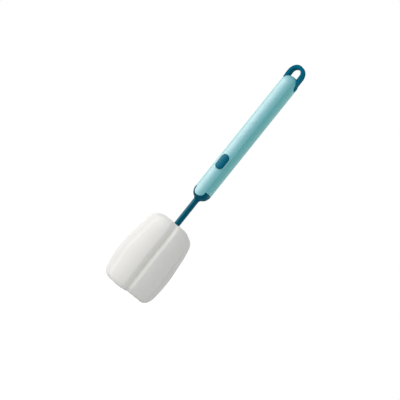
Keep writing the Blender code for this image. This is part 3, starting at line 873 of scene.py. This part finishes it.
def eased(value, low, high):
    """0 below low, 1 above high, and a smooth rise between them."""
    share = min(max((value - low) / (high - low), 0.0), 1.0)
    return share * share * (3 - 2 * share)


def soften(place, radius):
    """The foam's small unevenness: one side is shorter, it leans, and its surface is wavy."""
    away = eased(radius, *FOAM_FREE_SPAN)
    side = place.x * math.cos(TURN) + place.y * math.sin(TURN)
    standing = min(max(place.z / FOAM_WAVE_FOOT, 0.0), 1.0)
    high = eased(place.z, *FOAM_DROOP_SPAN)
    low = 1 - eased(place.z, 0.0, FOAM_LIFT_TOP)
    bow = FOAM_BOW * math.exp(-(((place.z - FOAM_BOW_HEIGHT) / FOAM_BOW_SPREAD) ** 2))
    lean = (FOAM_LEAN + bow) * away
    lifted = eased(side, *FOAM_LIFT_RISE) * (1 - eased(side, *FOAM_LIFT_FALL))
    place = place - Vector((lean * math.cos(TURN), lean * math.sin(TURN), 0.0))
    place.z -= high * away * FOAM_DROOP * max(side - FOAM_DROOP_SIDE, 0.0)
    place.z += low * FOAM_LIFT * lifted
    outward = Vector((place.x, place.y, 0.0)).normalized()
    wave = noise.noise(place / FOAM_WAVE_LENGTH) * FOAM_WAVE * away * standing
    place.z = max(place.z, 0.0)
    return place + outward * wave


def make_foam_head():
    """Six lobes round the core, drawn in towards the stem, with the core's cavity inside.

    The mesh keeps how deep each point is sunk, from 0 to 1, for the painted shade down the
    grooves.
    """
    count = LOBES * LOBE_STEPS
    turns = [GROOVE_TURN + 2 * math.pi * k / count for k in range(count)]
    cavity = core_profile(FOAM_CLEARANCE)
    inside = cavity[-2::-1] + [(CORE_BORE, cavity[0][1]), (CORE_BORE, FOAM_BORE_TOP)]
    inside.append((STEM_RADIUS + SEAM, FOAM_MOUTH))
    rings = []
    for radius, height in inside:
        rings.append([(radius * math.cos(a), radius * math.sin(a), height) for a in turns])
    rows = spline_rows(FOAM_OUTLINE, OUTLINE_STEPS)
    deepest = max(depth for radius, height, depth in rows)
    hollows = [0.0] * (count * len(rings))
    for k, (radius, height, depth) in enumerate(rows):
        before, after = rows[max(k - 1, 0)], rows[min(k + 1, len(rows) - 1)]
        run = Vector((after[0] - before[0], after[1] - before[1])).normalized()
        ring = []
        for turn in turns:
            cut = depth * groove_share(turn, radius)
            hollows.append(cut / deepest)
            reach = radius + run.y * cut
            sunk = height - run.x * cut
            place = Vector((reach * math.cos(turn), reach * math.sin(turn), sunk))
            ring.append(soften(place, radius))
        rings.append(ring)
    head = loft("foam_head", rings, (0.0, 0.0, cavity[-1][1]), (0.0, 0.0, 0.0))
    # Painted shade: each point's sunk depth, kept to darken the grooves' colour
    hollow = head.data.attributes.new("hollow", "FLOAT", "POINT")
    hollow.data.foreach_set("value", hollows + [0.0, 0.0])
    return smooth(head, ROUND_SHARP)


# Materials

def new_material(name, colour, roughness, metallic=0.0):
    """A material, its node tree and its Principled shader."""
    made = bpy.data.materials.new(name)
    made.use_nodes = True
    tree = made.node_tree
    shader = tree.nodes["Principled BSDF"]
    shader.inputs["Base Color"].default_value = (*colour, 1.0)
    shader.inputs["Roughness"].default_value = roughness
    shader.inputs["Metallic"].default_value = metallic
    return made, tree, shader


def noise_at(tree, size, detail=2.0, stretch=(1.0, 1.0, 1.0)):
    """Noise in the object's own coordinates, with features of the given size in metres."""
    place = tree.nodes.new("ShaderNodeTexCoord")
    scale = tree.nodes.new("ShaderNodeMapping")
    scale.inputs["Scale"].default_value = stretch
    tree.links.new(place.outputs["Object"], scale.inputs["Vector"])
    made = tree.nodes.new("ShaderNodeTexNoise")
    made.inputs["Scale"].default_value = 1.0 / size
    made.inputs["Detail"].default_value = detail
    tree.links.new(scale.outputs["Vector"], made.inputs["Vector"])
    return made.outputs["Fac"]


def ramp(tree, value, low, high, start=0.3, end=0.7):
    """Runs from low to high as the value runs from start to end. The defaults suit a noise."""
    made = tree.nodes.new("ShaderNodeMapRange")
    made.inputs["From Min"].default_value = start
    made.inputs["From Max"].default_value = end
    made.inputs["To Min"].default_value = low
    made.inputs["To Max"].default_value = high
    tree.links.new(value, made.inputs["Value"])
    return made.outputs["Result"]


def tint(tree, share, colour, other):
    """Mixes from a colour, or from a socket that gives one, to another."""
    made = tree.nodes.new("ShaderNodeMix")
    made.data_type = "RGBA"
    if isinstance(colour, bpy.types.NodeSocket):
        tree.links.new(colour, made.inputs["A"])
    else:
        made.inputs["A"].default_value = (*colour, 1.0)
    made.inputs["B"].default_value = (*other, 1.0)
    tree.links.new(share, made.inputs["Factor"])
    return made.outputs["Result"]


def bump(tree, shader, height, distance, strength, under=None):
    """Bumps the shader's surface by a height, on top of the bump under it."""
    made = tree.nodes.new("ShaderNodeBump")
    made.inputs["Distance"].default_value = distance
    made.inputs["Strength"].default_value = strength
    tree.links.new(height, made.inputs["Height"])
    if under is not None:
        tree.links.new(under, made.inputs["Normal"])
    tree.links.new(made.outputs["Normal"], shader.inputs["Normal"])
    return made.outputs["Normal"]


def moulded_plastic(name, colour, other, roughness, shine=0.5, shine_tint=PLAIN_SHINE):
    """Satin moulded plastic: a fine even grain, and a faint drift of tone and gloss."""
    made, tree, shader = new_material(name, colour, roughness)
    drift = noise_at(tree, DRIFT_SIZE, detail=3.0, stretch=DRIFT_STRETCH)
    tone = tint(tree, ramp(tree, drift, 0.0, 1.0), colour, other)
    tree.links.new(tone, shader.inputs["Base Color"])
    patches = noise_at(tree, PATCH_SIZE)
    gloss = ramp(tree, patches, roughness - PATCH_GLOSS, roughness + PATCH_GLOSS)
    tree.links.new(gloss, shader.inputs["Roughness"])
    bump(tree, shader, noise_at(tree, GRAIN_SIZE, detail=1.0), GRAIN_DEPTH, GRAIN_STRENGTH)
    shader.inputs["IOR"].default_value = PLASTIC_IOR
    shader.inputs["Specular IOR Level"].default_value = shine
    shader.inputs["Specular Tint"].default_value = (*shine_tint, 1.0)
    return made


def foam_material():
    """Fine open-celled foam: pits of two sizes with painted shade in them, painted shade down the
    grooves, and soft light inside.
    """
    made, tree, shader = new_material("white_foam", FOAM_COLOUR, FOAM_ROUGHNESS)
    place = tree.nodes.new("ShaderNodeTexCoord")
    cells = tree.nodes.new("ShaderNodeTexVoronoi")
    cells.feature = "SMOOTH_F1"
    cells.inputs["Scale"].default_value = 1.0 / CELL_SIZE
    cells.inputs["Smoothness"].default_value = CELL_SMOOTHNESS
    tree.links.new(place.outputs["Object"], cells.inputs["Vector"])
    pits = ramp(tree, cells.outputs["Distance"], 0.0, 1.0, *CELL_SPAN)
    fine = noise_at(tree, PORE_SIZE, detail=3.0)
    # Painted shade: the foam's colour darkens and warms in its pits and where the fine pores sink
    pore_shade = ramp(tree, fine, PORE_SHADE, 0.0, *PORE_SHADE_SPAN)
    cell_shade = ramp(tree, cells.outputs["Distance"], 1.0, CELL_SHADE, *CELL_SHADE_SPAN)
    shade = tree.nodes.new("ShaderNodeMath")
    shade.operation = "MULTIPLY"
    tree.links.new(pore_shade, shade.inputs[0])
    tree.links.new(cell_shade, shade.inputs[1])
    grain = tint(tree, shade.outputs["Value"], FOAM_COLOUR, PORE_PAINTED_SHADE)
    # Painted shade: a darker, warmer colour down the grooves, stronger the deeper a point is sunk
    hollow = tree.nodes.new("ShaderNodeAttribute")
    hollow.attribute_name = "hollow"
    deep = ramp(tree, hollow.outputs["Fac"], 0.0, GROOVE_SHADE_REACH, *GROOVE_SHADE_SPAN)
    tree.links.new(tint(tree, deep, grain, GROOVE_PAINTED_SHADE), shader.inputs["Base Color"])
    under = bump(tree, shader, pits, CELL_DEPTH, CELL_STRENGTH)
    bump(tree, shader, fine, PORE_DEPTH, PORE_STRENGTH, under)
    for socket, value in FOAM_SHADER.items():
        shader.inputs[socket].default_value = value
    return made


def steel_material():
    """Bright drawn wire: fine scratches round it and a slight change of gloss."""
    made, tree, shader = new_material("drawn_steel", STEEL_COLOUR, STEEL_ROUGHNESS, metallic=1.0)
    lines = noise_at(tree, LINE_SIZE, stretch=LINE_STRETCH)
    tree.links.new(ramp(tree, lines, *STEEL_ROUGH_SPAN), shader.inputs["Roughness"])
    bump(tree, shader, lines, LINE_DEPTH, LINE_STRENGTH)
    return made


# Stage

def make_camera():
    """The photograph's camera, level with the brush and rolled, so that the brush lies aslant."""
    image_right = math.cos(ROLL) * RIGHT + math.sin(ROLL) * UP
    image_up = math.cos(ROLL) * UP - math.sin(ROLL) * RIGHT
    camera = add_object("camera", bpy.data.cameras.new("camera"))
    camera.data.sensor_width = SENSOR_WIDTH
    camera.data.lens = SENSOR_WIDTH * DISTANCE / FRAME_WIDTH
    place = UP * CENTRE_HEIGHT + RIGHT * CENTRE_SIDE + TO_CAMERA * DISTANCE
    turn = Matrix((image_right, image_up, TO_CAMERA)).transposed().to_4x4()
    camera.matrix_world = Matrix.Translation(place) @ turn
    bpy.context.scene.camera = camera


def make_light(name, height, side, front, size, power, colour=(1.0, 1.0, 1.0)):
    """A soft lamp that adds gloss alone, aimed at the brush. Side runs to the camera's right."""
    offset = RIGHT * side + TO_CAMERA * front
    light = bpy.data.lights.new(name, "AREA")
    light.shape = "RECTANGLE"
    light.size, light.size_y = size
    light.energy = power
    light.color = colour
    lamp = add_object(name, light)
    lamp.location = UP * height + offset
    lamp.visible_diffuse = False
    lamp.rotation_euler = offset.to_track_quat("Z", "Y").to_euler()


def seen_directly(tree):
    """1 for rays that show the surroundings: straight from the camera, mirrored or let through."""
    path = tree.nodes.new("ShaderNodeLightPath")
    value = path.outputs["Is Camera Ray"]
    for name in ("Is Glossy Ray", "Is Transmission Ray"):
        most = tree.nodes.new("ShaderNodeMath")
        most.operation = "MAXIMUM"
        tree.links.new(value, most.inputs[0])
        tree.links.new(path.outputs[name], most.inputs[1])
        value = most.outputs["Value"]
    return value


def make_world():
    """White surroundings, whose light on the brush comes from the key and the fill side."""
    world = bpy.data.worlds.new("white_surroundings")
    world.use_nodes = True
    tree = world.node_tree
    background = tree.nodes["Background"]
    background.inputs["Color"].default_value = (1.0, 1.0, 1.0, 1.0)
    place = tree.nodes.new("ShaderNodeTexCoord")
    facings = []
    for turn in (TURN - KEY_TURN, TURN + FILL_TURN):
        facing = tree.nodes.new("ShaderNodeVectorMath")
        facing.operation = "DOT_PRODUCT"
        facing.inputs[1].default_value = (math.sin(turn), -math.cos(turn), 0.0)
        tree.links.new(place.outputs["Generated"], facing.inputs[0])
        facings.append(facing.outputs["Value"])
    level = tree.nodes.new("ShaderNodeMix")
    tree.links.new(seen_directly(tree), level.inputs["Factor"])
    key = ramp(tree, facings[0], AMBIENT_SHADE, AMBIENT_LIT, KEY_EDGE, 1.0)
    fill = ramp(tree, facings[1], 0.0, FILL_LIT, FILL_EDGE, 1.0)
    both = tree.nodes.new("ShaderNodeMath")
    both.operation = "ADD"
    tree.links.new(key, both.inputs[0])
    tree.links.new(fill, both.inputs[1])
    tree.links.new(both.outputs["Value"], level.inputs["A"])
    level.inputs["B"].default_value = 1.0
    tree.links.new(level.outputs["Result"], background.inputs["Strength"])
    bpy.context.scene.world = world


def make_floor():
    """A pale floor that looks white and keeps the brush's shadow."""
    form = bmesh.new()
    bmesh.ops.create_grid(form, x_segments=1, y_segments=1, size=FLOOR_HALF_SIZE)
    mesh = bpy.data.meshes.new("floor")
    form.to_mesh(mesh)
    form.free()
    floor = add_object("floor", mesh)
    made = bpy.data.materials.new("pale_floor")
    made.use_nodes = True
    tree = made.node_tree
    tree.nodes.remove(tree.nodes["Principled BSDF"])
    diffuse = tree.nodes.new("ShaderNodeBsdfDiffuse")
    diffuse.inputs["Color"].default_value = (*FLOOR_COLOUR, 1.0)
    glow = tree.nodes.new("ShaderNodeEmission")
    level = ramp(tree, seen_directly(tree), FLOOR_GLOW_CAST, FLOOR_GLOW_SEEN, 0.0, 1.0)
    tree.links.new(level, glow.inputs["Strength"])
    both = tree.nodes.new("ShaderNodeAddShader")
    tree.links.new(diffuse.outputs["BSDF"], both.inputs[0])
    tree.links.new(glow.outputs["Emission"], both.inputs[1])
    tree.links.new(both.outputs["Shader"], tree.nodes["Material Output"].inputs["Surface"])
    mesh.materials.append(made)


# Assembly

def finish_piece(obj, made, body, node):
    """Gives a piece its material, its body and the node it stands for."""
    obj.data.materials.clear()
    obj.data.materials.append(made)
    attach(obj, body)
    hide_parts(node)
    return obj


def main():
    """Makes the materials, the pieces in the places of their nodes, and the stage."""
    aqua = moulded_plastic(
        "pale_aqua_plastic", (0.190, 0.555, 0.615), (0.183, 0.542, 0.601), roughness=0.70
    )
    # Painted shade: the grip shell, which makes the handle's sides and back, is a darker aqua than
    # the front panel, so that the sides read as shaded
    grip = moulded_plastic(
        "pale_aqua_grip_painted_shade", (0.138, 0.515, 0.535), (0.132, 0.502, 0.522), roughness=0.70
    )
    teal = moulded_plastic(
        "dark_teal_plastic",
        (0.001, 0.094, 0.158),
        (0.001, 0.089, 0.149),
        roughness=0.50,
        shine=0.06,
        shine_tint=TEAL_SHINE,
    )
    strap = moulded_plastic(
        "teal_loop_plastic",
        (0.001, 0.163, 0.262),
        (0.001, 0.155, 0.249),
        roughness=0.60,
        shine=0.005,
        shine_tint=TEAL_SHINE,
    )
    cap = moulded_plastic(
        "teal_button_plastic",
        (0.001, 0.125, 0.215),
        (0.001, 0.118, 0.203),
        roughness=0.55,
        shine=0.08,
        shine_tint=TEAL_SHINE,
    )
    white = moulded_plastic(
        "white_plastic", (0.80, 0.81, 0.80), (0.77, 0.78, 0.77), roughness=0.42
    )
    steel = steel_material()

    finish_piece(make_grip_shell(), grip, "handle", "grip_body")
    finish_piece(make_button_panel(), aqua, "handle", "front_panel")
    finish_piece(make_stem_moulding(), teal, "handle", "stem_and_collar")
    finish_piece(make_loop_strap(), strap, "handle", "hang_loop")
    finish_piece(make_button_cap(), cap, "button", "release_button")
    finish_piece(make_ramp_block(), white, "pusher", "rod_wedge")
    finish_piece(make_steel_rod(), steel, "pusher", "push_rod")
    spring = finish_piece(make_coil_spring(), steel, "handle", "rod_return_spring")
    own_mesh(spring)
    finish_piece(make_foam_core(), white, "sponge_head", "sponge_core")
    head = finish_piece(make_foam_head(), foam_material(), "sponge_head", "sponge")

    make_floor()
    make_world()
    make_light(
        "sheen",
        height=0.20,
        side=-0.75,
        front=0.14,
        size=(0.90, 0.50),
        power=58.0,
        colour=SHEEN_COLOUR,
    )
    make_light("rim", height=0.18, side=0.75, front=-0.20, size=(0.90, 0.60), power=10.0)
    make_camera()
    bpy.context.scene.view_settings.view_transform = "Standard"


main()
